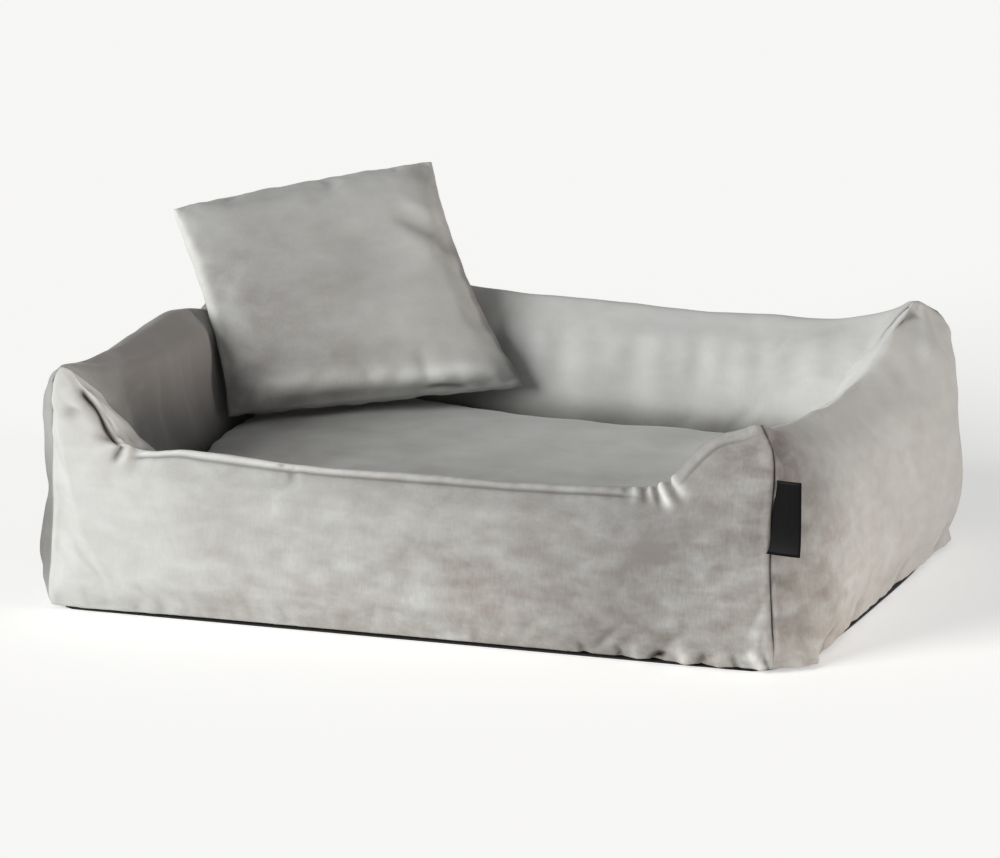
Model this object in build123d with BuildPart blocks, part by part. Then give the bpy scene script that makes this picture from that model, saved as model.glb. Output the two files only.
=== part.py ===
from build123d import *
import os
from collections import namedtuple
from math import cos, pi

os.makedirs("parts", exist_ok=True)

# Size of the bed between its corner seams, millimetres
seam_length = 784.0
seam_depth = 584.0
corner_height = 258.0
entry_height = 178.0
wall_thickness = 90.0

# How far the top of each wall sags between its peaks, and the dent that the cushion presses
rear_wall_sag = 26.0
right_wall_sag = 40.0
left_wall_sag = 12.0
dent_depth = 31.0
dent_from_rear = 200.0
dent_reach = 110.0

# Shape of a stuffed wall
lean_in = 22.0
outer_belly = 8.0
left_belly = 14.0
right_belly = 30.0
inner_belly = 8.0
foot_tuck = 8.0
foot_follow_share = 0.6
flank_height_share = 0.38
side_flank_height_share = 0.46
belly_fullness_power = 0.5
corner_crest = 8.0
middle_crest = 17.0
crest_drop_share = 0.8
peak_lead = 30.0
peak_run = 34.0

# Low entry in the front wall, measured from the corner at each end
lip_start = 62.0
left_lip_end = 125.0
right_lip_end = 165.0

# Fabrics and fillings
velour = 2.0
lining = 1.5
filling_gap = 0.3
base_fabric = 2.0
base_wadding_thickness = 4.0
base_corner_radius = 18.0
rest_gap = 0.3

# Mat
mat_edge_height = 100.0
mat_rise = 32.0
mat_shoulder_drop = 14.0
mat_side_gap = 3.0
mat_corner_radius = 24.0

# Zip in the rear of the mat
zip_length = 420.0
zip_pitch = 3.2
tooth_length = 1.7
tooth_reach = 2.2
tooth_thickness = 2.4
tooth_cord = 1.0
zip_parting = 1.4
zip_tape_width = 11.0
zip_tape_thickness = 0.6
zip_stop_length = 3.0
zip_slit_margin = 1.5
slider_length = 11.0
slider_plate = 1.0
slider_gap = 0.3
slider_flange = 0.9
slider_neck_length = 3.0
slider_taper = 1.2
zip_room = 1.0

# Scatter cushion
cushion_width = 291.0
cushion_reach = 251.0
cushion_crown = 45.0
cushion_draw = 7.0
cushion_fabric = 1.5
cushion_turn = 35.4
cushion_rise = 5.2
cushion_lean = 49.7
cushion_from_left = 164.0
cushion_from_rear = 149.0
cushion_lift_clearance = 2.0
cushion_settling_steps = 10

# Label in the front right corner seam
label_height = 78.0
label_reach = 42.0
label_thickness = 1.0
label_foot_height = 127.0
label_turn = -8.0
label_root = 14.0
label_seam_inset = 11.0

# One overrun serves every cut
overrun = 5.0

# Heights that follow from the layers
base_top = base_fabric
lining_foot = base_top + base_wadding_thickness
mat_foot = lining_foot + lining + rest_gap
mat_shoulder_height = mat_foot + mat_edge_height
mat_rim_height = mat_shoulder_height - mat_shoulder_drop
inner_length = seam_length - 2 * wall_thickness
inner_depth = seam_depth - 2 * wall_thickness

# Walls
Wall = namedtuple("Wall", "name corner along run stations sag height belly flank_share")


def swell(place, run):
    """Zero at the peak at both ends of a wall and one in its middle."""
    share = min(max((place - peak_run) / (run - 2 * peak_run), 0), 1)
    return 4 * share * (1 - share)


def sagging_height(place, run, sag):
    """Top of a wall that sags between two corner peaks."""
    return corner_height - sag * swell(place, run)


def ease(share):
    """Smooth fall from one to zero."""
    share = min(max(share, 0), 1)
    return (1 + cos(pi * share)) / 2


def dented_height(place, run, sag):
    """Top of a sagging wall that the cushion presses down, measured from the rear corner."""
    dent = dent_depth * ease(abs(place - dent_from_rear) / dent_reach)
    return sagging_height(place, run, sag) - dent


def entry_top(place, run, drop):
    """Top of the front wall, which drops from both peaks to the low entry."""
    left = ease((place - lip_start) / (left_lip_end - lip_start))
    right = ease((run - place - lip_start) / (right_lip_end - lip_start))
    return corner_height - drop * (1 - max(left, right))


def sag_stations(run):
    """Places of the cross sections along a sagging wall."""
    step_shares = (0, 0.1, 0.23, 0.36, 0.5, 0.64, 0.77, 0.9, 1)
    sag_run = run - 2 * peak_run
    steps = [peak_run + sag_run * share for share in step_shares]
    return [-peak_lead, 0] + steps + [run, run + peak_lead]


def dent_stations(run):
    """Places of the cross sections along the dented wall, close together across the dent."""
    dent_shares = (-1, -0.67, -0.33, 0, 0.33, 0.67, 1)
    rest_shares = (0.25, 0.5, 0.75, 1)
    dent = [dent_from_rear + dent_reach * share for share in dent_shares]
    rest_run = run - peak_run - dent[-1]
    rest = [dent[-1] + rest_run * share for share in rest_shares]
    return [-peak_lead, 0, peak_run] + dent + rest + [run, run + peak_lead]


def entry_stations(run):
    """Places of the cross sections along the front wall, close together on its two lips."""
    ramp_shares = (0, 0.25, 0.5, 0.75, 1)
    left = [lip_start + (left_lip_end - lip_start) * share for share in ramp_shares]
    right = [run - lip_start - (right_lip_end - lip_start) * share for share in ramp_shares]
    middle = [run * share for share in (0.26, 0.38, 0.5, 0.62)]
    return [-peak_lead, 0] + left + middle + right[::-1] + [run, run + peak_lead]


half_length = seam_length / 2
half_depth = seam_depth / 2
walls = (
    Wall("front_wall", (-half_length, -half_depth, 0), (1, 0, 0), seam_length, entry_stations(seam_length),
         corner_height - entry_height, entry_top, outer_belly, flank_height_share),
    Wall("right_wall", (half_length, -half_depth, 0), (0, 1, 0), seam_depth, sag_stations(seam_depth),
         right_wall_sag, sagging_height, right_belly, side_flank_height_share),
    Wall("rear_wall", (half_length, half_depth, 0), (-1, 0, 0), seam_length, sag_stations(seam_length),
         rear_wall_sag, sagging_height, outer_belly, flank_height_share),
    Wall("left_wall", (-half_length, half_depth, 0), (0, -1, 0), seam_depth, dent_stations(seam_depth),
         left_wall_sag, dented_height, left_belly, side_flank_height_share),
)


def wall_section(plane, height, crest, belly, flank_share, inset):
    """One cross section of a stuffed wall: x runs inward from its corner line and y runs up."""
    lean = lean_in * height / corner_height
    shoulder = height - crest * crest_drop_share
    inner_top = lean + 2 * crest
    foot = (foot_tuck - belly * foot_follow_share + inset, base_top + inset)
    flank = (inset - belly, height * flank_share)
    outer_shoulder = (lean + inset, shoulder)
    top = (lean + crest, height - inset)
    inner_shoulder = (inner_top - inset, shoulder)
    waist = ((inner_top + wall_thickness) / 2 + inner_belly - inset, (shoulder + mat_shoulder_height) / 2)
    mat_line = (wall_thickness - inset, mat_shoulder_height)
    inner_foot = (wall_thickness - inset, base_top + inset)
    with BuildSketch(plane) as section:
        with BuildLine():
            ThreePointArc(foot, flank, outer_shoulder)
            ThreePointArc(outer_shoulder, top, inner_shoulder)
            ThreePointArc(inner_shoulder, waist, mat_line)
            Line(mat_line, inner_foot)
            Line(inner_foot, foot)
        make_face()
    return section.sketch


def wall_body(wall, inset):
    """A whole wall, drawn in by an inset and mitred at both corners."""
    across = Plane(origin=wall.corner, x_dir=Vector(0, 0, 1).cross(Vector(*wall.along)), z_dir=wall.along)
    plan = Plane(origin=wall.corner, x_dir=wall.along, z_dir=(0, 0, 1))
    reach = wall_thickness + overrun
    sections = []
    for place in wall.stations:
        fullness = swell(place, wall.run)
        crest = corner_crest + (middle_crest - corner_crest) * fullness
        belly = wall.belly * fullness**belly_fullness_power
        height = wall.height(place, wall.run, wall.sag)
        sections.append(wall_section(across.offset(place), height, crest, belly, wall.flank_share, inset))
    with BuildPart() as body:
        loft(sections)
        with BuildSketch(plan):
            with BuildLine():
                Polyline(
                    (-peak_lead, -peak_lead),
                    (wall.run + peak_lead, -peak_lead),
                    (wall.run - reach, reach),
                    (reach, reach),
                    close=True,
                )
            make_face()
        extrude(amount=corner_height + overrun, mode=Mode.INTERSECT)
    return body.part


def save(part, name):
    """Label a finished piece and write it to its own file."""
    part.label = name
    export_step(part, f"parts/{name}.step")


# Wall covers and their fillings
wall_solids = {}
for wall in walls:
    wall_solids[wall.name] = wall_body(wall, 0)
    with BuildPart() as wall_cover:
        add(wall_solids[wall.name])
        add(wall_body(wall, velour), mode=Mode.SUBTRACT)
    save(wall_cover.part, f"{wall.name}_cover")
    with BuildPart() as wall_filling:
        add(wall_body(wall, velour + filling_gap))
    save(wall_filling.part, f"{wall.name}_filling")

# Base panel, wadding and floor lining
with BuildPart() as base_panel:
    with BuildSketch():
        RectangleRounded(seam_length - 2 * foot_tuck, seam_depth - 2 * foot_tuck, base_corner_radius)
    extrude(amount=base_fabric)
save(base_panel.part, "base_panel")

with BuildPart() as base_wadding:
    with BuildSketch(Plane.XY.offset(base_top)):
        Rectangle(inner_length - 2 * filling_gap, inner_depth - 2 * filling_gap)
    extrude(amount=base_wadding_thickness)
save(base_wadding.part, "base_wadding")

with BuildPart() as floor_lining:
    with BuildSketch(Plane.XY.offset(lining_foot)):
        Rectangle(inner_length - 2 * filling_gap, inner_depth - 2 * filling_gap)
    extrude(amount=lining)
save(floor_lining.part, "floor_lining")

# Side label, a folded ribbon that stands out of the corner seam
seam_x = half_length - label_seam_inset
seam_y = -half_depth + label_seam_inset
label_plane = Plane(Location((seam_x, seam_y, label_foot_height), (0, 0, label_turn)))
with BuildPart() as side_label:
    with BuildSketch(label_plane):
        with Locations(((label_reach - label_root) / 2, 0)):
            Rectangle(label_reach + label_root, label_thickness)
    extrude(amount=label_height)
    add(wall_solids["front_wall"], mode=Mode.SUBTRACT)
    add(wall_solids["right_wall"], mode=Mode.SUBTRACT)
save(side_label.part, "side_label")

# Mat
mat_length = inner_length - 2 * mat_side_gap
mat_depth = inner_depth - 2 * mat_side_gap


# Layers of the mat's crown: how far each is drawn in, as a share of half the depth, and its rise
mat_crown_shares = (
    (0.0, 0.0),
    (0.02, 0.2),
    (0.07, 0.38),
    (0.16, 0.55),
    (0.3, 0.72),
    (0.48, 0.86),
    (0.68, 0.95),
    (0.9, 1.0),
)
mat_rounding_share = 0.4
mat_largest_rounding_share = 0.9


def mat_dome(inset):
    """The crowned upper part of the mat, drawn in by an inset."""
    layers = []
    for step_share, rise_share in mat_crown_shares:
        narrowing = mat_depth / 2 * step_share + inset
        layer_half = mat_depth / 2 - narrowing
        rounding = min(mat_corner_radius + narrowing * mat_rounding_share, layer_half * mat_largest_rounding_share)
        with BuildSketch(Plane.XY.offset(mat_rim_height + (mat_rise - inset) * rise_share)) as layer:
            RectangleRounded(mat_length - 2 * narrowing, mat_depth - 2 * narrowing, rounding)
        layers.append(layer.sketch)
    with BuildPart() as dome:
        loft(layers)
    return dome.part


with BuildPart() as mat_top_panel:
    add(mat_dome(0))
    add(mat_dome(velour), mode=Mode.SUBTRACT)
save(mat_top_panel.part, "mat_top_panel")

with BuildPart() as mat_base_panel:
    with BuildSketch(Plane.XY.offset(mat_foot)):
        RectangleRounded(mat_length, mat_depth, mat_corner_radius)
    extrude(amount=lining)
save(mat_base_panel.part, "mat_base_panel")

# Zip sizes that follow from the teeth and the slider
band_foot = mat_foot + lining
zip_height = (band_foot + mat_rim_height) / 2
row_width = tooth_reach + tooth_cord
chain_width = 2 * row_width + zip_parting
slider_inner_width = chain_width + 2 * slider_gap
slider_width = slider_inner_width + 2 * slider_flange
slit_width = slider_width + 2 * zip_slit_margin
slit_length = zip_length + 2 * (zip_stop_length + zip_slit_margin)
slider_depth = tooth_thickness + 2 * slider_gap + 2 * slider_plate
zip_face = mat_depth / 2
teeth_face = zip_face - slider_plate - slider_gap
teeth_middle = teeth_face - tooth_thickness / 2
tape_face = zip_face - velour
zip_plane = Plane(origin=(0, zip_face, zip_height), x_dir=(-1, 0, 0), z_dir=(0, 1, 0))

with BuildPart() as mat_side_band:
    with BuildSketch(Plane.XY.offset(band_foot)):
        RectangleRounded(mat_length, mat_depth, mat_corner_radius)
        RectangleRounded(
            mat_length - 2 * velour, mat_depth - 2 * velour, mat_corner_radius - velour, mode=Mode.SUBTRACT
        )
    extrude(amount=mat_rim_height - band_foot)
    with BuildSketch(zip_plane.offset(overrun)):
        Rectangle(slit_length, slit_width)
    extrude(amount=-2 * overrun, mode=Mode.SUBTRACT)
save(mat_side_band.part, "mat_side_band")

with BuildPart() as mat_filling:
    add(mat_dome(velour + filling_gap))
    with BuildSketch(Plane.XY.offset(band_foot + filling_gap)):
        RectangleRounded(
            mat_length - 2 * (velour + filling_gap),
            mat_depth - 2 * (velour + filling_gap),
            mat_corner_radius - velour - filling_gap,
        )
    extrude(amount=mat_rim_height - band_foot - filling_gap)
    with BuildSketch(zip_plane):
        Rectangle(slit_length + 2 * zip_room, 2 * zip_tape_width + chain_width + 2 * zip_room)
    extrude(amount=-(slider_depth + zip_room), mode=Mode.SUBTRACT)
save(mat_filling.part, "mat_filling")

# Zip tapes and rows of teeth, one above the parting line and one below it
tooth_count = int(zip_length / zip_pitch)
for side, name, shift in ((1, "upper", 0), (-1, "lower", zip_pitch / 2)):
    cord_middle = side * (zip_parting / 2 + tooth_reach + tooth_cord / 2)
    tooth_middle = side * (zip_parting / 2 + tooth_reach / 2)
    tape_middle = side * (chain_width / 2 + zip_tape_width / 2)
    with BuildPart() as zip_teeth:
        with BuildSketch(zip_plane.offset(teeth_face - zip_face)):
            with Locations((0, cord_middle)):
                Rectangle(zip_length, tooth_cord)
            with Locations((shift / 2, tooth_middle)):
                with GridLocations(zip_pitch, 0, tooth_count - 1, 1):
                    Rectangle(tooth_length, tooth_reach)
        extrude(amount=-tooth_thickness)
    save(zip_teeth.part, f"mat_zip_teeth_{name}")
    with BuildPart() as zip_tape:
        with BuildSketch(zip_plane.offset(tape_face - zip_face)):
            with Locations((0, tape_middle)):
                Rectangle(slit_length, zip_tape_width)
        extrude(amount=-zip_tape_thickness)
    save(zip_tape.part, f"mat_zip_tape_{name}")

# End stops, which bridge the two rows of teeth
with BuildPart() as mat_zip_stops:
    with BuildSketch(zip_plane.offset(teeth_face - zip_face)):
        with Locations((-(zip_length + zip_stop_length) / 2, 0), ((zip_length + zip_stop_length) / 2, 0)):
            Rectangle(zip_stop_length, chain_width)
    extrude(amount=-tooth_thickness)
save(mat_zip_stops.part, "mat_zip_stops")

# Zip slider at the closed end
slider_rest = (zip_length - slider_length) / 2 - slider_gap
slider_plane = Plane(origin=(slider_rest, zip_face, zip_height), x_dir=(-1, 0, 0), z_dir=(0, 1, 0))


tape_slot = zip_tape_thickness + 2 * slider_gap
with BuildPart() as mat_zip_slider:
    with BuildSketch(slider_plane):
        Rectangle(slider_length, slider_width)
        chamfer(vertices(), length=slider_taper)
    extrude(amount=-slider_depth)
    with BuildSketch(slider_plane.offset(-slider_plate)):
        Rectangle(slider_length + overrun, slider_inner_width)
        Rectangle(slider_neck_length, zip_parting - 2 * slider_gap, mode=Mode.SUBTRACT)
    extrude(amount=-(slider_depth - 2 * slider_plate), mode=Mode.SUBTRACT)
    with BuildSketch(slider_plane.offset(tape_face - zip_face + slider_gap)):
        Rectangle(slider_length + overrun, slider_width + overrun)
        Rectangle(slider_neck_length, zip_parting - 2 * slider_gap, mode=Mode.SUBTRACT)
    extrude(amount=-tape_slot, mode=Mode.SUBTRACT)
save(mat_zip_slider.part, "mat_zip_slider")

# Scatter cushion
# Layers of half the cushion: its rise, how far it is drawn in and how far its sides curve inward
cushion_layer_shares = (
    (0.0, 0.0, 1.0),
    (0.2, 0.03, 0.8),
    (0.4, 0.09, 0.5),
    (0.58, 0.18, 0.1),
    (0.75, 0.32, -0.5),
    (0.88, 0.49, -1.2),
    (0.96, 0.69, -1.6),
    (1.0, 0.88, -1.0),
)


def cushion_layer(plane, half_width, half_reach, draw):
    """One four sided outline of the cushion, its sides drawn in or full between the corners."""
    with BuildSketch(plane) as layer:
        with BuildLine():
            ThreePointArc((-half_width, -half_reach), (0, -half_reach + draw), (half_width, -half_reach))
            ThreePointArc((half_width, -half_reach), (half_width - draw, 0), (half_width, half_reach))
            ThreePointArc((half_width, half_reach), (0, half_reach - draw), (-half_width, half_reach))
            ThreePointArc((-half_width, half_reach), (-half_width + draw, 0), (-half_width, -half_reach))
        make_face()
    return layer.sketch


def cushion_half(plane, side, inset):
    """The half of the cushion on one side of its seam, drawn in by an inset."""
    crown = cushion_crown - inset
    layers = []
    for rise, step, draw in cushion_layer_shares:
        narrowing = cushion_reach / 2 * step + inset
        half_width = cushion_width / 2 - narrowing
        half_reach = cushion_reach / 2 - narrowing
        layer_plane = plane.offset(side * crown * rise)
        layers.append(cushion_layer(layer_plane, half_width, half_reach, cushion_draw * draw))
    with BuildPart() as half:
        loft(layers)
    return half.part


cushion_tilt = (
    Location((0, 0, 0), (0, 0, cushion_turn))
    * Location((0, 0, 0), (0, -cushion_rise, 0))
    * Location((0, 0, 0), (cushion_lean, 0, 0))
)
cushion_x = -half_length + cushion_from_left
cushion_y = half_depth - cushion_from_rear


def resting_height(seats):
    """Height of the cushion's middle once it is let down onto what carries it."""
    height = corner_height + cushion_lift_clearance
    above = Plane(Location((cushion_x, cushion_y, height)) * cushion_tilt)
    halves = (cushion_half(above, 1, 0), cushion_half(above, -1, 0))
    let_down = 0
    for step in range(cushion_settling_steps):
        place = Location((0, 0, -let_down))
        gap = min(half.moved(place).distance_to(seat) for half in halves for seat in seats)
        let_down += gap - rest_gap
    return height - let_down


cushion_seats = (wall_solids["left_wall"], wall_solids["rear_wall"], mat_top_panel.part)
cushion_z = resting_height(cushion_seats)
cushion_plane = Plane(Location((cushion_x, cushion_y, cushion_z)) * cushion_tilt)

with BuildPart() as cushion_front_panel:
    add(cushion_half(cushion_plane, 1, 0))
    add(cushion_half(cushion_plane, 1, cushion_fabric), mode=Mode.SUBTRACT)
save(cushion_front_panel.part, "cushion_front_panel")

with BuildPart() as cushion_back_panel:
    add(cushion_half(cushion_plane, -1, 0))
    add(cushion_half(cushion_plane, -1, cushion_fabric), mode=Mode.SUBTRACT)
save(cushion_back_panel.part, "cushion_back_panel")

with BuildPart() as cushion_filling:
    add(cushion_half(cushion_plane, 1, cushion_fabric + filling_gap))
    add(cushion_half(cushion_plane, -1, cushion_fabric + filling_gap))
save(cushion_filling.part, "cushion_filling")
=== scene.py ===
import math
from functools import partial

import bmesh
import bpy
import numpy as np
from bpy.props import FloatProperty, FloatVectorProperty, PointerProperty
from mathutils import Matrix, Vector


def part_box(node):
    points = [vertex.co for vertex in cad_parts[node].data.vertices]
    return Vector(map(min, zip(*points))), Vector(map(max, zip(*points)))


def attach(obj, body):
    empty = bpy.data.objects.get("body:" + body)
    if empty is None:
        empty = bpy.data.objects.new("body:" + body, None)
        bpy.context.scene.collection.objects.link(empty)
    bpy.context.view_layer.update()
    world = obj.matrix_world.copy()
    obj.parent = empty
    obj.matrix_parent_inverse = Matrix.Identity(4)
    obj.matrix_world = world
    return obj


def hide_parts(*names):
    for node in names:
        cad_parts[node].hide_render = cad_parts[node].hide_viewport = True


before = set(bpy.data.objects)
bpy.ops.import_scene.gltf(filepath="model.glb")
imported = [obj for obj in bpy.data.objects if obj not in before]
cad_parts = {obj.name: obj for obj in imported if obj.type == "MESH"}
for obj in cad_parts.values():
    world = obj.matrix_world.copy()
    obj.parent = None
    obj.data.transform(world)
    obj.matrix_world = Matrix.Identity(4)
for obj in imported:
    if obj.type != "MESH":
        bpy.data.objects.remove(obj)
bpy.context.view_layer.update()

bl_info = {
    "name": "Stuffed pet bed",
    "version": (1, 0, 0),
    "blender": (4, 5, 0),
    "location": "3D View > Sidebar > Pet Bed",
    "description": "Velour pet bed with soft walls, a loose mat and a scatter cushion",
    "category": "Add Mesh",
}


def linear(hex_colour):
    """An sRGB hex colour as the linear numbers that a shader takes."""
    channels = [int(hex_colour[i:i + 2], 16) / 255 for i in (0, 2, 4)]
    return [c / 12.92 if c <= 0.04045 else ((c + 0.055) / 1.055) ** 2.4 for c in channels] + [1.0]


# Sizes and colours


def size_of(name, default, description):
    """A size in metres for the sidebar."""
    return FloatProperty(name=name, description=description, default=default, min=0.0, unit="LENGTH")


def colour_of(name, hex_colour, description):
    """A colour for the sidebar, given as sRGB hex."""
    return FloatVectorProperty(name=name, description=description, subtype="COLOR", size=4, min=0.0, max=1.0,
                               default=linear(hex_colour))


class StuffedWallSizes(bpy.types.PropertyGroup):
    length: size_of("Length", 0.784, "Distance between the corner seams along the front")
    depth: size_of("Depth", 0.584, "Distance between the corner seams from front to rear")
    thickness: size_of("Thickness", 0.090, "Thickness of a wall at the floor")
    corner_rounding: size_of("Corner rounding", 0.034, "Radius of the upright corners at half height")
    foot_height: size_of("Hem height", 0.0035, "Height of the lower hem above the floor")


class MatSizes(bpy.types.PropertyGroup):
    length: size_of("Length", 0.598, "Length of the mat, left to right")
    depth: size_of("Depth", 0.398, "Depth of the mat, front to rear")
    foot: size_of("Base height", 0.0093, "Height of the mat's underside above the floor")
    rim: size_of("Rim height", 0.1030, "Height of the mat's upper edge above the floor, at its right end")
    fuller: size_of("Fuller end", 0.0240, "How much higher the mat's edge is at its left end")
    top: size_of("Top height", 0.1300, "Height of the mat's middle above the floor")


class CushionSizes(bpy.types.PropertyGroup):
    crown: size_of("Half thickness", 0.041, "Half of the cushion's thickness in the middle")


class BedColours(bpy.types.PropertyGroup):
    velour: colour_of("Velour", "BBBDBB", "Velour seen square on")
    # The next two colours are painted light and painted shade: the velour as lit and as shaded
    velour_painted_light: colour_of("Velour in painted light", "E4E6E4", "Velour where painted light falls")
    velour_painted_shade: colour_of("Velour in painted shade", "8B8A89", "Velour where painted shade falls")
    velour_warm: colour_of("Warm cast", "E8DAD1", "Cast of the velour where the pile is worn or pressed")
    lining: colour_of("Lining", "9C9B99", "Plain lining under the mat")
    base: colour_of("Base fabric", "17171A", "Coated fabric that the bed stands on")
    label: colour_of("Label", "0E0E10", "Satin ribbon of the label")


# Materials


def add_node(owner, kind, settings=None, links=None):
    """Add a shader node to a material or world, set its properties or sockets, and link sockets of earlier
    nodes to it. The kind is its type without the ShaderNode that all of them start with."""
    node = owner.node_tree.nodes.new("ShaderNode" + kind)
    for key, value in (settings or {}).items():
        if isinstance(key, str) and hasattr(node, key) and key not in node.inputs:
            setattr(node, key, value)
        else:
            node.inputs[key].default_value = value
    for key, (source, output) in (links or {}).items():
        owner.node_tree.links.new(source.outputs[output], node.inputs[key])
    return node


def start_material(name):
    """An empty material, what adds its nodes, and the piece's own coordinates for its patterns."""
    material = bpy.data.materials.new(name)
    material.use_nodes = True
    material.node_tree.nodes.clear()
    add = partial(add_node, material)
    return material, add, (add("TexCoord"), "Object")


def as_colour(value):
    """A colour of the sidebar as it is, or an sRGB hex colour turned to linear numbers."""
    return linear(value) if isinstance(value, str) else tuple(value)


def finish_material(add, shader):
    add("OutputMaterial", links={"Surface": (shader, 0)})


def ramp_between(add, source, stops):
    """A colour ramp over a pattern, from a list of places and hex colours."""
    ramp = add("ValToRGB", links={"Fac": source})
    elements = ramp.color_ramp.elements
    while len(elements) > 1:
        elements.remove(elements[0])
    elements[0].position, elements[0].color = stops[0][0], as_colour(stops[0][1])
    for place, colour in stops[1:]:
        elements.new(place).color = as_colour(colour)
    return (ramp, "Color")


def velour_material(name, shade, middle, light, warm):
    """Brushed polyester velour: a short pile in soft random patches, with painted light and shade from the
    piece's own attribute, faint upright lines of the knit under it, a warmer cast where it is worn, a soft
    sheen where it turns away, and painted shade in seams, folds and where parts meet."""
    material, add, place = start_material(name)
    # The piece's level of painted light and shade, its worn places, and its painted shade in seams and folds
    painted_level, worn, crushed = ((add("Attribute", {"attribute_name": key}), "Fac")
                             for key in ("nap", "worn", "crushed"))
    # Slow patches in the pile, about 65 mm, and smudges of about 18 mm that fingers and paws leave
    patches = add("TexNoise", {"Scale": 15.0, "Detail": 3.0, "Roughness": 0.5, "Distortion": 0.35},
                  {"Vector": place})
    level = add("Mapping", {"Scale": (0.6, 0.6, 1.3)}, {"Vector": place})
    smudges = add("TexNoise", {"Scale": 54.0, "Detail": 3.0, "Roughness": 0.5, "Distortion": 0.2},
                  {"Vector": (level, "Vector")})
    # Knitted wales are about 0.8 mm apart, drawn as upright lines of 2.4 mm so that they show
    upright = add("Mapping", {"Scale": (1.0, 1.0, 0.22)}, {"Vector": place})
    knit = add("TexNoise", {"Scale": 420.0, "Detail": 2.0, "Roughness": 0.5}, {"Vector": (upright, "Vector")})
    mottled = add("Mix", {"data_type": "FLOAT", "Factor": 0.45}, {2: (patches, "Fac"), 3: (smudges, "Fac")})
    mottled = add("Mix", {"data_type": "FLOAT", "Factor": 0.14}, {2: (mottled, 0), 3: (knit, "Fac")})
    # The mottling is stronger where the pile is worn
    centred = add("Math", {"operation": "SUBTRACT", 1: 0.5}, {0: (mottled, 0)})
    strength = add("Math", {"operation": "MULTIPLY_ADD", 1: 0.90, 2: 0.34}, {0: worn})
    uneven = add("Math", {"operation": "MULTIPLY"}, {0: (centred, 0), 1: (strength, 0)})
    # Painted light and shade: the piece's level, with the random mottling added, picks the lit or shaded
    # velour colour
    mottled_level = add("Math", {"operation": "ADD"}, {0: painted_level, 1: (uneven, 0)})
    nap = ramp_between(add, (mottled_level, 0), [(0.0, shade), (0.5, middle), (1.0, light)])
    cast = add("MapRange", {"From Min": 0.68, "From Max": 0.32}, {"Value": (mottled, 0)})
    cast = add("Math", {"operation": "MULTIPLY"}, {0: (cast, 0), 1: worn})
    tinted = add("Mix", {"data_type": "RGBA", "blend_type": "MULTIPLY", 7: as_colour(warm)},
                 {0: (cast, 0), 6: nap})
    # Painted shade: darker in seams, folds and where parts meet, from the piece's own attribute
    darker = add("Mix", {"data_type": "RGBA", "blend_type": "MULTIPLY", 7: linear("5E574F")},
                 {0: crushed, 6: (tinted, 2)})
    # Pile fibres are about 0.05 mm, too fine to show, so they are drawn as 0.9 mm tufts
    pile = add("TexNoise", {"Scale": 1100.0, "Detail": 2.0, "Roughness": 0.7}, {"Vector": place})
    tufts = add("Bump", {"Strength": 0.18, "Distance": 0.0006}, {"Height": (pile, "Fac")})
    rubbed = add("Bump", {"Strength": 0.16, "Distance": 0.0022},
                 {"Height": (smudges, "Fac"), "Normal": (tufts, "Normal")})
    finish_material(add, add("BsdfPrincipled",
                             {"Roughness": 0.82, "Specular IOR Level": 0.22, "Sheen Weight": 0.20,
                              "Sheen Roughness": 0.40, "Sheen Tint": linear("FFFEFA")},
                             {"Base Color": (darker, 2), "Normal": (rubbed, "Normal")}))
    return material


def woven_material(name, light, shade, thread=0.0012, roughness=0.75, sheen=0.05, gloss=0.3, depth=0.35,
                   dot_gap=None):
    """Plain weave: two crossed sets of threads, drawn coarser than real so that they show.
    A gap gives the coated base its rows of small rubber dots, blacker and duller than the cloth."""
    material, add, place = start_material(name)
    turns = 2 * math.pi / thread / 20
    warp, weft = (add("TexWave", {"wave_type": "BANDS", "bands_direction": direction, "Scale": turns,
                                  "Distortion": 0.6, "Detail": 1.0, "Detail Scale": 3.0}, {"Vector": place})
                  for direction in ("X", "Y"))
    weave = add("Math", {"operation": "MULTIPLY"}, {0: (warp, "Fac"), 1: (weft, "Fac")})
    wear = add("TexNoise", {"Scale": 22.0, "Detail": 4.0}, {"Vector": place})
    mixed = add("Mix", {"data_type": "FLOAT", "Factor": 0.45}, {2: (weave, 0), 3: (wear, "Fac")})
    colour = ramp_between(add, (mixed, 0), [(0.15, shade), (0.75, light)])
    bump = add("Bump", {"Strength": depth, "Distance": thread / 3}, {"Height": (weave, 0)})
    shader = add("BsdfPrincipled",
                 {"Roughness": roughness, "Specular IOR Level": gloss, "Sheen Weight": sheen},
                 {"Base Color": colour, "Normal": (bump, "Normal")})
    if dot_gap:
        cells = add("TexVoronoi", {"voronoi_dimensions": "2D", "Scale": 1 / dot_gap, "Randomness": 0.0},
                    {"Vector": place})
        dots = add("Math", {"operation": "LESS_THAN", 1: 0.24}, {0: (cells, "Distance")})
        rubber = add("BsdfPrincipled", {"Base Color": linear("060606"), "Roughness": 0.55})
        shader = add("MixShader", {}, {0: (dots, 0), 1: (shader, 0), 2: (rubber, 0)})
    finish_material(add, shader)
    return material


def moulded_material(name, light, shade, roughness, coat=0.0):
    """A moulded or cast small part with a fine uneven surface."""
    material, add, place = start_material(name)
    mottle = add("TexNoise", {"Scale": 900.0, "Detail": 3.0}, {"Vector": place})
    colour = ramp_between(add, (mottle, "Fac"), [(0.3, shade), (0.7, light)])
    bump = add("Bump", {"Strength": 0.15, "Distance": 0.0003}, {"Height": (mottle, "Fac")})
    finish_material(add, add("BsdfPrincipled", {"Roughness": roughness, "Coat Weight": coat},
                             {"Base Color": colour, "Normal": (bump, "Normal")}))
    return material


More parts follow.
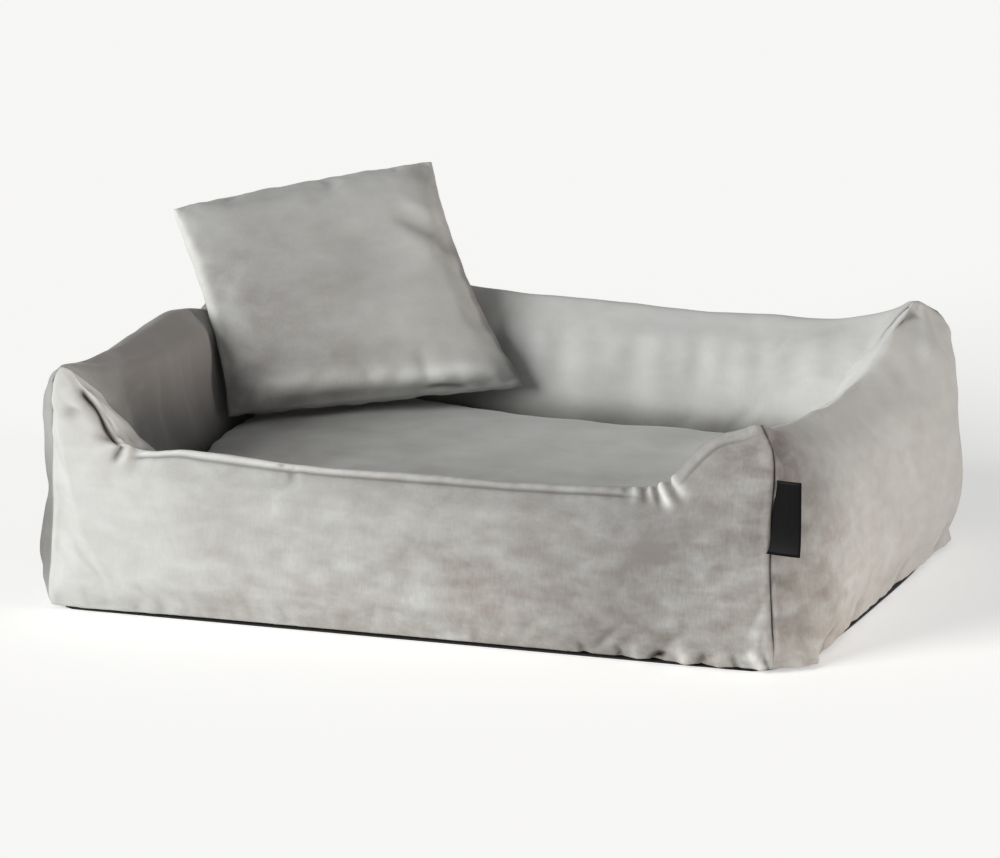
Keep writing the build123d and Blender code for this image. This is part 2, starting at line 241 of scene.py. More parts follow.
def dress(piece, material, body, slot, *nodes):
    """Give a new piece its only material and the body it moves with, and hide the CAD nodes that it stands
    for.
    """
    piece.data.materials.clear()
    piece.data.materials.append(material)
    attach(piece, body)
    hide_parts(*nodes)


def repaint_node(name, material):
    """Give a CAD node its finish through its material slots, leaving its mesh alone."""
    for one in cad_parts[name].material_slots:
        one.link = "OBJECT"
        one.material = material


# Mesh helpers


def new_piece(name, points, faces):
    """A mesh object from points and faces, its normals turned outwards."""
    mesh = bpy.data.meshes.new(name)
    mesh.from_pydata([tuple(p) for p in points], [], faces)
    work = bmesh.new()
    work.from_mesh(mesh)
    bmesh.ops.recalc_face_normals(work, faces=work.faces)
    if work.calc_volume(signed=True) < 0:
        bmesh.ops.reverse_faces(work, faces=work.faces)
    work.to_mesh(mesh)
    work.free()
    mesh.shade_smooth()
    piece = bpy.data.objects.new(name, mesh)
    bpy.context.scene.collection.objects.link(piece)
    return piece


def points_of(piece):
    flat = np.empty(len(piece.data.vertices) * 3, np.float32)
    piece.data.vertices.foreach_get("co", flat)
    return flat.reshape(-1, 3).astype(float)


def normals_of(piece):
    flat = np.empty(len(piece.data.vertices) * 3, np.float32)
    piece.data.vertex_normals.foreach_get("vector", flat)
    return flat.reshape(-1, 3).astype(float)


def place_points(piece, points):
    piece.data.vertices.foreach_set("co", np.asarray(points, np.float32).ravel())
    piece.data.update()


def swell(piece, shift):
    """Move every point along its normal by its own distance."""
    place_points(piece, points_of(piece) + normals_of(piece) * shift[:, None])


def grid_points(x, y, z):
    """The points of a grid as one list, from its coordinates."""
    return np.stack(np.broadcast_arrays(x, y, z), axis=2).reshape(-1, 3)


def only(piece):
    """Leave this piece alone selected and active."""
    bpy.ops.object.select_all(action="DESELECT")
    piece.select_set(True)
    bpy.context.view_layer.objects.active = piece


def subdivide_piece(piece, levels=1):
    only(piece)
    smooth = piece.modifiers.new("smooth", "SUBSURF")
    smooth.levels = smooth.render_levels = levels
    smooth.boundary_smooth = "PRESERVE_CORNERS"
    bpy.ops.object.modifier_apply(modifier=smooth.name)
    piece.data.shade_smooth()


def stuff(piece, held, pressure, spare, cap, frames=20):
    """Fill the piece as cloth with its seams held and a little spare fabric, moving no point past the cap."""
    rest = points_of(piece)
    seams = piece.vertex_groups.new(name="seams")
    seams.add([int(i) for i in np.flatnonzero(held)], 1.0, "REPLACE")
    cloth = piece.modifiers.new("stuffing", "CLOTH")
    cloth.settings.quality = 5
    cloth.settings.use_pressure = True
    cloth.settings.uniform_pressure_force = pressure
    cloth.settings.shrink_min = -spare
    cloth.settings.vertex_group_mass = "seams"
    cloth.settings.effector_weights.gravity = 0
    cloth.settings.tension_stiffness = 12
    cloth.settings.compression_stiffness = 12
    cloth.settings.bending_stiffness = 0.4
    cloth.point_cache.frame_start, cloth.point_cache.frame_end = 1, frames
    for step in range(1, frames + 1):
        bpy.context.scene.frame_set(step)
    only(piece)
    bpy.ops.object.modifier_apply(modifier=cloth.name)
    bpy.context.scene.frame_set(1)
    moved = points_of(piece) - rest
    length = np.linalg.norm(moved, axis=1, keepdims=True)
    moved *= np.minimum(1, cap / np.maximum(length, 1e-9))
    place_points(piece, rest + moved)
    piece.vertex_groups.clear()


def smoothstep(low, high, value):
    share = np.clip((np.asarray(value) - low) / (high - low), 0, 1)
    return share * share * (3 - 2 * share)


def bell(value, middle, width):
    return np.exp(-((value - middle) / width) ** 2)


def path_distance(points, path):
    """Distance from each point to a line of points, and how far along it as a share."""
    best, along = np.full(len(points), 1e9), np.zeros(len(points))
    lengths = np.linalg.norm(np.diff(path, axis=0), axis=1)
    total, done = lengths.sum(), 0.0
    for start, end, length in zip(path[:-1], path[1:], lengths):
        step = (end - start) / length
        reach = np.clip((points - start) @ step, 0, length)
        gap = np.linalg.norm(points - start - reach[:, None] * step, axis=1)
        nearer = gap < best
        best[nearer] = gap[nearer]
        along[nearer] = ((done + reach) / total)[nearer]
        done += length
    return best, along


def smooth_path(path, steps=8):
    """A denser line through the given points, rounded between them."""
    padded = np.vstack([2 * path[0] - path[1], path, 2 * path[-1] - path[-2]])
    rounded = []
    for a, b, c, d in zip(padded[:-3], padded[1:-2], padded[2:-1], padded[3:]):
        for t in np.arange(steps) / steps:
            rounded.append(0.5 * (2 * b + (c - a) * t + (2 * a - 5 * b + 4 * c - d) * t ** 2
                                  + (3 * b - a - 3 * c + d) * t ** 3))
    rounded.append(path[-1])
    return np.array(rounded)


def attribute_of(piece, name):
    values = np.zeros(len(piece.data.vertices), np.float32)
    if name in piece.data.attributes:
        piece.data.attributes[name].data.foreach_get("value", values)
    return values.astype(float)


def keep_attribute(piece, name, values):
    found = piece.data.attributes.get(name) or piece.data.attributes.new(name, "FLOAT", "POINT")
    found.data.foreach_set("value", np.asarray(values, np.float32))


def slow_waves(points, seed, count, wavelength):
    """A smooth seeded unevenness, about -1 to 1, made of plane waves."""
    draw = np.random.RandomState(seed)
    total = np.zeros(len(points))
    for _ in range(count):
        direction = draw.normal(size=3)
        direction /= np.linalg.norm(direction)
        length = wavelength * draw.uniform(0.6, 1.7)
        total += np.sin(points @ direction * 2 * math.pi / length + draw.uniform(0, 2 * math.pi))
    return total / math.sqrt(count)


# Walls


def hermite(t, start, end, span, leaving, arriving):
    """A smooth run from start to end that leaves and arrives at the given slopes."""
    return ((2 * t ** 3 - 3 * t ** 2 + 1) * start + (t ** 3 - 2 * t ** 2 + t) * span * leaving
            + (3 * t ** 2 - 2 * t ** 3) * end + (t ** 3 - t ** 2) * span * arriving)


def along_table(places, values):
    """A smooth height or width along a wall from a few known places."""
    places, values = np.asarray(places, float), np.asarray(values, float)
    gaps = np.diff(places)
    slopes = np.diff(values) / gaps
    tangents = np.concatenate([[slopes[0]], (slopes[:-1] + slopes[1:]) / 2, [slopes[-1]]])
    # Level at every peak and dip, so that the line never overshoots its places
    tangents[np.concatenate([[False], slopes[:-1] * slopes[1:] <= 0, [False]])] = 0

    def at(x):
        x = np.clip(x, places[0], places[-1])
        i = np.clip(np.searchsorted(places, x, side="right") - 1, 0, len(places) - 2)
        t = (x - places[i]) / gaps[i]
        return hermite(t, values[i], values[i + 1], gaps[i], tangents[i], tangents[i + 1])

    return at


# Height of the corner peaks, and how far in from its corner seam a wall's end section stands
PEAK_HEIGHT, END_INSET = 0.258, 0.036
# Half the thickness of a full crest, and of the thinner one over the low entry
FULL_CREST, ENTRY_CREST = 0.0175, 0.011
# Heights of the line where the mat's edge touches a wall, and of the wall's inner foot
MAT_LINE, INNER_FOOT = 0.105, 0.0085
# Tops of the walls: places from the corner where each wall starts, and heights, in metres
WALL_TOPS = {
    "front_wall": ((0.0, 0.036, 0.053, 0.067, 0.075, 0.080, 0.087, 0.158, 0.267, 0.376, 0.484, 0.592,
                    0.632, 0.650, 0.660, 0.672, 0.684, 0.700, 0.726, 0.748, 0.784),
                   (0.2600, 0.2600, 0.2460, 0.2300, 0.211, 0.197, 0.1875, 0.182, 0.177, 0.1765, 0.179, 0.183,
                    0.1855, 0.190, 0.197, 0.210, 0.2235, 0.239, 0.2505, 0.2565, 0.2575)),
    "right_wall": ((0.0, 0.036, 0.075, 0.15, 0.245, 0.33, 0.41, 0.445, 0.475, 0.505, 0.548, 0.584),
                   (0.2575, 0.2565, 0.247, 0.231, 0.220, 0.214, 0.2185, 0.227, 0.240, 0.253, 0.258, 0.258)),
    "rear_wall": ((0.0, 0.036, 0.057, 0.0895, 0.12, 0.156, 0.28, 0.39, 0.46, 0.522, 0.65, 0.748, 0.784),
                  (0.258, 0.258, 0.250, 0.2425, 0.2375, 0.2355, 0.2355, 0.2365, 0.2390, 0.243, 0.248, 0.2565,
                   0.257)),
    "left_wall": ((0.0, 0.036, 0.10, 0.16, 0.205, 0.25, 0.30, 0.39, 0.50, 0.548, 0.584),
                  (0.257, 0.2565, 0.238, 0.226, 0.235, 0.2490, 0.2545, 0.256, 0.2570, 0.2600, 0.2600)),
}
# How far each wall bulges outward, at what share of its height, how much of that its foot has,
# how far its top leans in, and how much thinner it is above the mat
WALL_FORMS = {
    "front_wall": (0.006, 0.40, 0.70, 0.020, 0.000),
    "right_wall": (0.034, 0.42, 1.00, 0.018, 0.000),
    "rear_wall": (0.009, 0.42, 0.70, 0.022, 0.000),
    "left_wall": (0.015, 0.40, 0.70, 0.012, 0.014),
}
# How far each wall leans in at its two ends and half the thickness of its crest there, the same for both
# walls of a corner
END_LEANS = {
    "front_wall": (0.001, 0.020), "right_wall": (0.020, 0.020), "rear_wall": (0.020, 0.020),
    "left_wall": (0.020, 0.001),
}
END_CRESTS = {
    "front_wall": (0.0045, 0.0075), "right_wall": (0.0075, 0.0075), "rear_wall": (0.0075, 0.0075),
    "left_wall": (0.0075, 0.0045),
}
# The corner where each wall starts, the way that it runs, and the way in to the sleeping space
WALL_PLANS = {
    "front_wall": ((-1, -1), (1, 0), (0, 1)),
    "right_wall": ((1, -1), (0, 1), (-1, 0)),
    "rear_wall": ((1, 1), (-1, 0), (0, -1)),
    "left_wall": ((-1, 1), (0, -1), (1, 0)),
}
# Rows of the section between its anchors: foot, lower turn, flank, outer shoulder, crest,
# inner shoulder, waist, mat line, inner foot, and back to the foot
SECTION_ROWS = (4, 13, 24, 5, 5, 8, 7, 5, 5)


def wall_sections(name, sizes, stations, run):
    """Cross sections of one stuffed wall: distance inward and height of each anchor at each station."""
    edge = np.minimum(stations, run - stations)
    first_half = stations < run / 2
    fullness = smoothstep(END_INSET, 0.150, edge)
    foot_fullness = smoothstep(END_INSET, 0.090, edge)
    height = along_table(*WALL_TOPS[name])(stations)
    crest = np.where(first_half, *END_CRESTS[name])
    crest = crest + (FULL_CREST - crest) * fullness
    if name == "front_wall":
        crest = crest + (ENTRY_CREST - crest) * smoothstep(0.24, 0.19, height)
    belly, flank, foot_share, lean, thinner = WALL_FORMS[name]
    foot_in = 0.009 - belly * foot_share * foot_fullness
    belly, thinner = belly * fullness, thinner * fullness
    at_end = np.where(first_half, *END_LEANS[name])
    lean = (at_end + (lean - at_end) * fullness) * height / PEAK_HEIGHT
    zero = np.zeros_like(stations)
    shoulder = height - crest * 0.8
    inner_top = lean + 2 * crest
    anchors = [
        (foot_in, zero + sizes.foot_height),
        (0.4 * foot_in - 0.6 * belly - 0.001, zero + sizes.foot_height + 0.014),
        (-belly, height * flank),
        (lean, shoulder),
        (lean + crest, height),
        (inner_top, shoulder),
        ((inner_top + sizes.thickness) / 2 + 0.010 - thinner, (shoulder + MAT_LINE) / 2),
        (sizes.thickness + 0.002 - thinner / 2, zero + MAT_LINE),
        (zero + sizes.thickness, zero + INNER_FOOT),
    ]
    return np.array([[a[0] + zero, a[1] + zero] for a in anchors]).transpose(2, 0, 1)


def curve_rows(anchors, rows):
    """Points on a smooth line through the anchors of every section, and straight along its foot."""
    steps = np.diff(anchors[:, :8], axis=1)
    chords = np.linalg.norm(steps, axis=2)[..., None]
    slopes = steps / chords
    before, after = chords[:, :-1], chords[:, 1:]
    inner = (slopes[:, :-1] * after + slopes[:, 1:] * before) / (before + after)
    tangents = np.concatenate([slopes[:, :1], inner, slopes[:, -1:]], axis=1)
    out = []
    for i in range(7):
        t = np.arange(rows[i]) / rows[i]
        if i == 2:
            # Rows stand closer together towards the shoulder, where the face turns in
            t = 1 - (1 - t) ** 1.35
        out.append(hermite(t[None, :, None], anchors[:, i:i + 1], anchors[:, i + 1:i + 2], chords[:, i:i + 1],
                           tangents[:, i:i + 1], tangents[:, i + 1:i + 2]))
    for i, a, b in ((7, 7, 8), (8, 8, 0)):
        t = (np.arange(rows[i]) / rows[i])[None, :, None]
        out.append(anchors[:, a:a + 1] * (1 - t) + anchors[:, b:b + 1] * t)
    return np.concatenate(out, axis=1)


# Shares of the height at which the corners' moves are given
PLAN_LEVELS = (0.0, 0.5, 0.85, 1.0)
# How the corners slump: place, reach, and moves across and back at each of the four levels
CORNER_MOVES = (
    ((-0.392, -0.292), 0.09, (-0.008, -0.007, 0.0055, 0.006), (-0.008, -0.0028, -0.0006, 0.0)),
    ((0.392, -0.292), 0.13, (0.011, 0.007, 0.0072, 0.008), (-0.007, -0.0018, -0.0002, 0.0)),
    ((0.392, 0.292), 0.15, (0.004, 0.022, 0.0175, 0.012), (-0.004, -0.0010, 0.0, 0.0)),
)


def shape_plan(points):
    """Ease the whole bed to its slumped shape: corners lean and bulge by different amounts."""
    x, y, z = points.T.copy()
    level = np.clip(z / PEAK_HEIGHT, 0, 1)
    for corner, reach, across, back in CORNER_MOVES:
        near = np.exp(-((x - corner[0]) ** 2 + (y - corner[1]) ** 2) / reach ** 2)
        x = x + near * along_table(PLAN_LEVELS, across)(level)
        y = y + near * along_table(PLAN_LEVELS, back)(level)
    return np.column_stack([x, y, z])


def crease_ends(piece, last, loop):
    """Keep the first and last ring of a wall crisp, so that neighbours meet along the whole seam."""
    creases = piece.data.attributes.new("crease_edge", "FLOAT", "EDGE")
    for edge in piece.data.edges:
        a, b = edge.vertices
        if (a < loop and b < loop) or (a >= last and b >= last):
            creases.data[edge.index].value = 1.0


def wall_piece(name, sizes, run):
    """One stuffed wall as a closed shell, mitred at its corner seams, with soft rounded corners."""
    corner, along, inward = (np.array(v, float) for v in WALL_PLANS[name])
    spacing = 0.0042 if name == "front_wall" else 0.0060
    count = int(round(run / spacing))
    share = np.linspace(0, 1, count + 1)
    # Sections stand closer together towards the corners
    share = share - 0.055 * np.sin(2 * math.pi * share) / (2 * math.pi) * 2
    stations = END_INSET + share * (run - 2 * END_INSET)
    rows = curve_rows(wall_sections(name, sizes, stations, run), SECTION_ROWS)
    inset, height = rows[..., 0], rows[..., 1]
    outer = np.clip(1 - inset / 0.06, 0, 1) ** 0.7
    level = height / height.max(axis=1, keepdims=True)
    rounding = sizes.corner_rounding * (0.42 + 0.58 * smoothstep(0.0, 0.22, level))
    rounding = rounding * (1 - 0.7 * smoothstep(0.62, 0.97, level))
    # Both walls of a corner bend to its arc, so each point's place along the wall is found step by step
    q = share[:, None]
    u = q * run + (1 - 2 * q) * inset
    for _ in range(80):
        edge = np.minimum(u, run - u)
        bite = np.clip(rounding - edge, 0, rounding)
        extra = (rounding - np.sqrt(rounding ** 2 - bite ** 2 * 0.9999)) * outer
        u = 0.75 * u + 0.25 * (q * run + (1 - 2 * q) * (inset + extra))
    depth_in = inset + extra
    start = corner * np.array([sizes.length / 2, sizes.depth / 2])
    plan = start + u[..., None] * along + depth_in[..., None] * inward
    points = shape_plan(np.concatenate([plan, height[..., None]], axis=2).reshape(-1, 3))
    loop = inset.shape[1]
    faces = []
    for i in range(count):
        for j in range(loop):
            a, b = i * loop + j, i * loop + (j + 1) % loop
            faces.append((a, b, b + loop, a + loop))
    for first in (0, count * loop):
        faces += [(first + k, first + k + 1, first + loop - 2 - k, first + loop - 1 - k)
                  for k in range(loop // 2 - 1)]
    piece = new_piece(name, points, faces)
    steps = np.linalg.norm(np.diff(rows, axis=1), axis=2)
    arc = np.concatenate([np.zeros((count + 1, 1)), np.cumsum(steps, axis=1)], axis=1)
    crest_row = sum(SECTION_ROWS[:4])
    keep_attribute(piece, "arc", (arc[:, crest_row:crest_row + 1] - arc).ravel())
    keep_attribute(piece, "along", u.ravel())
    keep_attribute(piece, "seam", (np.minimum(u - depth_in, run - u - depth_in) / math.sqrt(2)).ravel())
    crease_ends(piece, count * loop, loop)
    ends = np.zeros((count + 1, loop), bool)
    ends[0] = ends[-1] = True
    ends[:, 0] = ends[:, -sum(SECTION_ROWS[-2:]):] = True
    return piece, ends.ravel()


def puckers(distance, along, wavelength, height, reach, seed):
    """Short soft folds that run away from a seam and fade with the distance from it."""
    phase = np.random.RandomState(seed).uniform(0, 2 * math.pi, 4)
    turn = along / wavelength
    wander = 1.1 * np.sin(turn * 0.9 + phase[0]) + 0.8 * np.sin(turn * 1.7 + phase[1])
    strong = 0.55 + 0.45 * np.sin(turn * 0.37 + phase[2]) * np.sin(turn * 0.83 + phase[3])
    wave = np.sin(turn * 2 * math.pi + wander)
    return height * strong * wave * np.exp(-distance / reach) * (1 - bell(distance, 0, 0.003))


def sculpt_wall(piece, name):
    """Seams, hems, puckers and the slow unevenness of stuffing, worked into one wall."""
    points = points_of(piece)
    x, z = points[:, 0], points[:, 2]
    along, arc, gap = (attribute_of(piece, key) for key in ("along", "arc", "seam"))
    gap = np.maximum(gap, 0)
    seed = list(WALL_TOPS).index(name) * 10
    free = smoothstep(0.006, 0.05, z)
    away = smoothstep(0.0, 0.012, gap)
    shift = 0.0013 * slow_waves(points, seed=5, count=9, wavelength=0.14) * free * away
    shift += 0.00055 * slow_waves(points, seed=6, count=11, wavelength=0.045) * free * away
    # The corner seam: a tight groove with painted shade in it, the fabric full beside it, and short pulls
    # away from it
    pressed = np.where(x < 0, 0.15, 1.0)
    shift -= 0.0009 * pressed * bell(gap, 0, 0.0020) * free
    shift += 0.0010 * bell(gap, 0.0060, 0.0035) * free
    shift += puckers(gap, z, wavelength=0.027, height=0.0012, reach=0.024, seed=1) * free
    crushed = 0.75 * pressed * bell(gap, 0, 0.0016) * free
    # Painted shade on the lower outer face of the left wall
    if name == "left_wall":
        outer = smoothstep(-0.35, -0.8, normals_of(piece)[:, 0]) * smoothstep(0.19, 0.13, z)
        crushed = np.maximum(crushed, 0.40 * outer * free)
    # Painted shade: a dark line where the mat presses on the wall
    crushed = np.maximum(crushed, 0.60 * smoothstep(-0.05, -0.08, arc) * bell(z, 0.118, 0.017))
    # The lower hem, gathered where the cover is sewn to the base
    foot = np.maximum(z - 0.004, 0)
    hem = puckers(foot, along, wavelength=0.034, height=0.0022, reach=0.016, seed=seed + 2)
    hem += puckers(foot, along, wavelength=0.019, height=0.0008, reach=0.010, seed=seed + 3)
    shift += hem * (arc > 0.02) * smoothstep(0.004, 0.03, gap)
    # The inner faces fall in slow upright folds
    inner = smoothstep(-0.02, -0.06, arc) * smoothstep(0.09, 0.13, z) * away
    broad = np.sin(along * 2 * math.pi / 0.085 + 0.9 * np.sin(along * 17 + seed)) * bell(z, 0.17, 0.06)
    narrow = np.sin(along * 2 * math.pi / 0.036 + 1.2 * np.sin(along * 23 + seed)) * bell(z, 0.20, 0.04)
    shift += inner * (0.0020 * broad + 0.0009 * narrow)
    swell(piece, shift)
    keep_attribute(piece, "crushed", crushed)


def sculpt_entry(piece):
    """The welt and stitch line along the low entry, with small gathers under it, painted shade in its groove
    and a painted highlight on the welt.
    """
    along, arc, crushed, nap = (attribute_of(piece, key) for key in ("along", "arc", "crushed", "nap"))
    seam = along_table((0.0, 0.095, 0.2, 0.55, 0.63, 0.66, 0.70, 0.784),
                       (0.015, 0.0105, 0.0100, 0.0110, 0.0125, 0.012, 0.011, 0.012))(along)
    deep = along_table((0.0, 0.086, 0.100, 0.21, 0.60, 0.628, 0.66, 0.70, 0.74, 0.784),
                       (0.0, 0.0, 0.0014, 0.0011, 0.0012, 0.0005, 0.0003, 0.0008, 0.0006, 0.0))(along)
    below = arc - seam
    groove = bell(below, 0, 0.0019)
    shift = deep * (0.7 * bell(below, -0.0055, 0.0035) + 0.30 * bell(below, 0.006, 0.004) - groove)
    gathers = puckers(np.abs(below), along, wavelength=0.017, height=0.0008, reach=0.012, seed=41)
    shift += (arc > 0) * gathers * smoothstep(0.09, 0.12, along)
    # Painted highlight along the welt, most at the left
    welt_highlight = bell(below, -0.0065, 0.0045) * smoothstep(0.05, 0.10, along) * smoothstep(0.75, 0.62, along)
    swell(piece, shift)
    # Painted shade in the stitch groove, and the painted highlight on the welt
    keep_attribute(piece, "crushed", np.maximum(crushed, 0.55 * groove * smoothstep(0.0002, 0.001, deep)))
    keep_attribute(piece, "nap", nap + welt_highlight * (0.42 - 0.30 * smoothstep(0.20, 0.60, along)))


# Folds of the front wall, seen from the front, in millimetres: points across and up, width and depth. Then
# how the two ends fade, how much painted shade lies in the fold, and how much painted light, below 0 painted
# shade
FRONT_FOLDS = (
    # The tuck under the rolled lip, and the roll above it
    ((-363, 242, -351, 226.5, -340, 212, -330, 194, -320, 184, -314, 179), 2.5, 6.4, (0.2, 0.12), 1, 0),
    ((-354, 248, -342, 233, -331, 218, -321, 201, -313, 190), 5, -2.4, (0.15, 0.15), 0, 0.36),
    ((-370, 232, -358, 217, -346, 202, -332, 189), 5, -1.2, (0.3, 0.3), 0, 0.12),
    # Pulls from the inner corner of the lip
    ((-318, 183, -329, 187, -347, 192), 3.6, 3.4, (0.02, 0.75), 0.55, 0),
    ((-315, 180, -318, 172, -323, 160), 4, 4.2, (0.02, 0.7), 0.65, 0),
    ((-316, 182, -328, 179, -343, 172), 4.6, -2.2, (0.05, 0.6), 0, 0.12),
    ((-310, 180, -309, 171, -315, 156), 3.8, -2.6, (0.05, 0.7), 0, 0.3),
    ((-303, 179, -300, 168, -302, 148), 5, 1.4, (0.05, 0.8), 0.2, 0),
    ((-290, 178, -286, 166, -288, 150), 5.5, -1.2, (0.1, 0.8), 0, 0.05),
    ((-386, 150, -380, 110, -370, 70), 9, 2.2, (0.3, 0.7), 0.1, 0),
    ((-360, 222, -364, 215, -369, 204), 8.5, 1.8, (0.2, 0.7), 0.4, 0),
    # A small step in the welt, with crinkles under it
    ((-148, 182, -144, 174, -145, 165), 3.4, 2.2, (0, 0.6), 0.5, 0),
    ((-134, 170, -130, 162, -131, 152), 3.8, 1.2, (0.1, 0.7), 0.25, 0),
    ((-122, 168, -118, 158, -120, 148), 4.2, -1.2, (0.1, 0.7), 0, 0.08),
    # Gathers at the right end of the entry
    ((226, 186, 229, 176, 231, 165), 3.4, 1.2, (0.05, 0.7), 0.25, 0),
    ((236, 184, 240, 175, 243, 164), 3.6, -1.4, (0.05, 0.6), 0, 0.4),
    ((246, 187, 250, 175, 256, 163), 3, 2.4, (0.05, 0.6), 0.5, 0),
    ((252, 188, 257, 176, 266, 164), 3.2, -1.6, (0.05, 0.6), 0, 0.45),
    ((256, 191, 264, 176, 275, 161), 2.8, 3, (0.05, 0.6), 0.6, 0),
    ((262, 190, 273, 178, 290, 163), 5.2, -4.2, (0.05, 0.45), 0, 1),
    ((268, 195, 281, 182, 302, 168), 3.6, 3, (0.05, 0.6), 0.55, 0),
    ((272, 198, 288, 186, 312, 177), 5.6, -2.8, (0.05, 0.6), 0, 0.7),
    # Puckers along the lower hem at the right
    ((190, 4, 188, 14, 184, 24), 4.5, 2.8, (0, 0.8), 0.3, 0),
    ((230, 4, 229, 13, 226, 23), 4.2, 4.2, (0, 0.8), 0.6, 0),
    ((248, 4, 247, 16, 243, 30), 6, -1.6, (0, 0.8), 0, 0.3),
    ((266, 3, 274, 11, 288, 17), 4.2, 7, (0, 0.8), 1, 0),
    ((300, 5, 298, 18, 292, 34), 7.5, -2.4, (0, 0.8), 0, 0.6),
    ((318, 4, 322, 14, 318, 26), 4, 3, (0, 0.8), 0.4, 0),
    ((336, 4, 336, 16, 332, 30), 5.5, -1.6, (0, 0.8), 0, 0.25),
    ((356, 3, 354, 16, 348, 32), 4, 3.2, (0, 0.8), 0.45, 0),
    ((382, 4, 377, 16, 372, 34), 5, -2.6, (0, 0.8), 0, 0.6),
    ((390, 3, 386, 18, 382, 38), 3.4, 3, (0, 0.8), 0.5, 0),
    # Slow hollows of the filling
    ((395, 120, 360, 112, 300, 128), 20, 1.4, (0.1, 0.8), 0, 0),
    ((-100, 60, 20, 52, 160, 66), 26, 1.2, (0.3, 0.7), 0, 0),
)


def fold_face(piece, folds, facing, axes=(0, 2), turned=None):
    """Press or raise folds drawn on one face, seen square on, or in a turned frame of its own, and paint
    shade and light along them.
    """
    own, facing = points_of(piece), np.asarray(facing, float)
    crushed, nap = attribute_of(piece, "crushed"), attribute_of(piece, "nap")
    if turned is not None:
        own = (own - turned[:3, 3]) @ turned[:3, :3]
        facing = turned[:3, :3] @ facing
    looks = smoothstep(0.0, 0.4, normals_of(piece) @ facing)
    shift = np.zeros(len(own))
    for path, width, depth, (first, last), fold_shade, lighter in folds:
        gap, along = path_distance(own[:, axes], smooth_path(np.reshape(path, (-1, 2)) / 1000))
        press = bell(gap, 0, width / 1000) * looks
        if first:
            press *= smoothstep(0, first, along)
        press *= smoothstep(0, last, 1 - along)
        shift -= depth / 1000 * press
        # Painted shade in the fold, and painted light on it, below 0 painted shade
        crushed = np.maximum(crushed, fold_shade * press)
        nap += lighter * press
    swell(piece, shift)
    keep_attribute(piece, "crushed", crushed)
    keep_attribute(piece, "nap", nap)


# Folds of the right wall's outer face and top, seen from the right
RIGHT_FOLDS = (
    ((-292, 245, -262, 225, -240, 190), 10, 2.4, (0.1, 0.8), 0.25, 0),
    ((120, 222, 60, 200, 0, 180), 14, 3, (0.3, 0.7), 0, 0),
    ((180, 225, 150, 190, 130, 150), 13, 2.8, (0.3, 0.7), 0, 0),
    ((225, 236, 215, 200, 205, 150), 12, -2.6, (0.3, 0.7), 0, 0.08),
    ((250, 250, 215, 248, 180, 238), 4.2, 3.6, (0.1, 0.6), 0.45, 0),
    ((-284, 100, -270, 92, -252, 72), 6, 2.6, (0, 0.8), 0.3, 0),
    ((-282, 55, -255, 40, -225, 34), 9, 3, (0, 0.8), 0.2, 0),
    ((-215, 5, -200, 20, -180, 34), 8, 6, (0, 0.8), 0.5, 0),
    ((-245, 5, -236, 22, -226, 44), 8, -4, (0, 0.8), 0, 0.1),
    ((-100, 5, -94, 22, -86, 46), 10, 5, (0, 0.8), 0.25, 0),
    ((60, 6, 66, 22, 72, 40), 10, 5, (0, 0.8), 0.25, 0),
    ((190, 6, 186, 26, 178, 50), 10, 5.5, (0, 0.8), 0.25, 0),
    ((-120, 110, 20, 95, 160, 120), 28, 2.2, (0.3, 0.7), 0, 0),
)
# The left wall's fullness beside its front seam, seen from the left
LEFT_FOLDS = (
    ((-262, 20, -264, 75, -262, 135), 24, -3.5, (0.1, 0.35), 0, -0.2),
)
# Folds of the scatter cushion's face, in its own plane
CUSHION_FOLDS = (
    ((66, 69, 96, 48, 139, 16), 8.5, 3.6, (0.35, 0.3), 0.26, 0),
    ((76, 84, 106, 66, 147, 38), 11, -2.6, (0.3, 0.4), 0, 0.16),
    ((64, 48, 90, 28, 124, -2), 12, -2, (0.3, 0.4), 0, 0.08),
    ((104, 132, 128, 114, 144, 94), 13, 2, (0.3, 0.3), 0.08, -0.08),
    ((-132, -96, -20, -106, 152, -124), 10, -4.4, (0.15, 0.15), 0, 0.42),
    ((-120, -114, 0, -122, 155, -136), 6, 2.2, (0.15, 0.15), 0.1, -0.16),
    ((-120, -80, -124, -30, -120, 20), 16, -1.8, (0.2, 0.6), 0, 0.16),
    ((55, -124, 85, -128, 115, -132), 2, 1.6, (0.3, 0.3), 0.7, 0),
    ((20, 60, 40, 20, 80, -10), 30, 1.6, (0.3, 0.5), 0, -0.08),
    ((-60, 90, -80, 20, -70, -40), 24, 1.2, (0.3, 0.5), 0, -0.05),
)
# Painted light and shade: place, reach and how much lighter, below 0 darker
PAINTED_LIGHT_FIELD = (
    ((-0.4, -0.3, 0.1), 0.13, 0.26), ((-0.2, -0.3, 0.06), 0.2, 0.08), ((0.02, -0.3, 0.12), 0.17, -0.22),
    ((0.28, -0.3, 0.1), 0.17, -0.58), ((0.1, -0.3, 0.01), 0.16, 0.1), ((0.4, -0.22, 0.16), 0.1, -0.22),
    ((0.38, -0.25, 0.22), 0.05, -0.25), ((0.42, 0.05, 0.1), 0.26, 0.3), ((-0.32, 0, 0.18), 0.2, -0.34),
    ((0.42, -0.18, 0.02), 0.14, 0.42), ((0, -0.3, 0.02), 0.2, 0.05), ((-0.36, -0.28, 0.24), 0.06, 0.22),
    ((0.1, 0.22, 0.18), 0.34, 0.14), ((0, 0, 0.12), 0.34, -0.08), ((-0.22, 0.12, 0.25), 0.17, 0.06),
    ((0.07, 0.17, 0.1), 0.06, -0.26), ((0.18, 0.165, 0.1), 0.06, -0.26),
)
# Painted light and shade of one whole piece: how much lighter it is than its neighbours, below 0 darker
PAINTED_LIGHT_OF_PIECE = {"left_wall": -0.44, "scatter_cushion": -0.15, "rear_wall": -0.12, "mat": -0.02}
